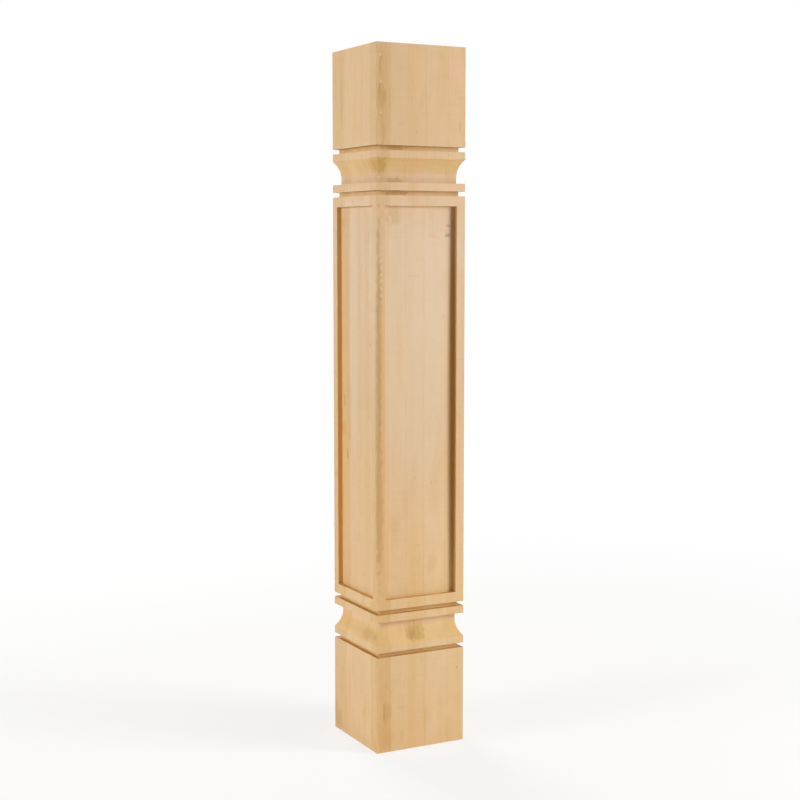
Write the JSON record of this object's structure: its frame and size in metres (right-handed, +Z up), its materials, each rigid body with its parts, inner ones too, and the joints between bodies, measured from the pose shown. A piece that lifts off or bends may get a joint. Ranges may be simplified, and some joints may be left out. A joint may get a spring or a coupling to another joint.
{
  "type": "newel post",
  "caption": "Square newel post with plain end blocks, coved mouldings between saw grooves and a recessed panel on every side, in natural pale maple.",
  "frame": {"origin": "centre of the foot, on the floor plane", "axes": "+Z up along the post's centre line; X and Y square to its faces, which are all alike"},
  "size_m": [0.127, 0.127, 0.9017],
  "materials": {
    "maple": "bare sanded hard maple, glued up from staves"
  },
  "bodies": {
    "root": {"post": "maple"}
  },
  "joints": []
}
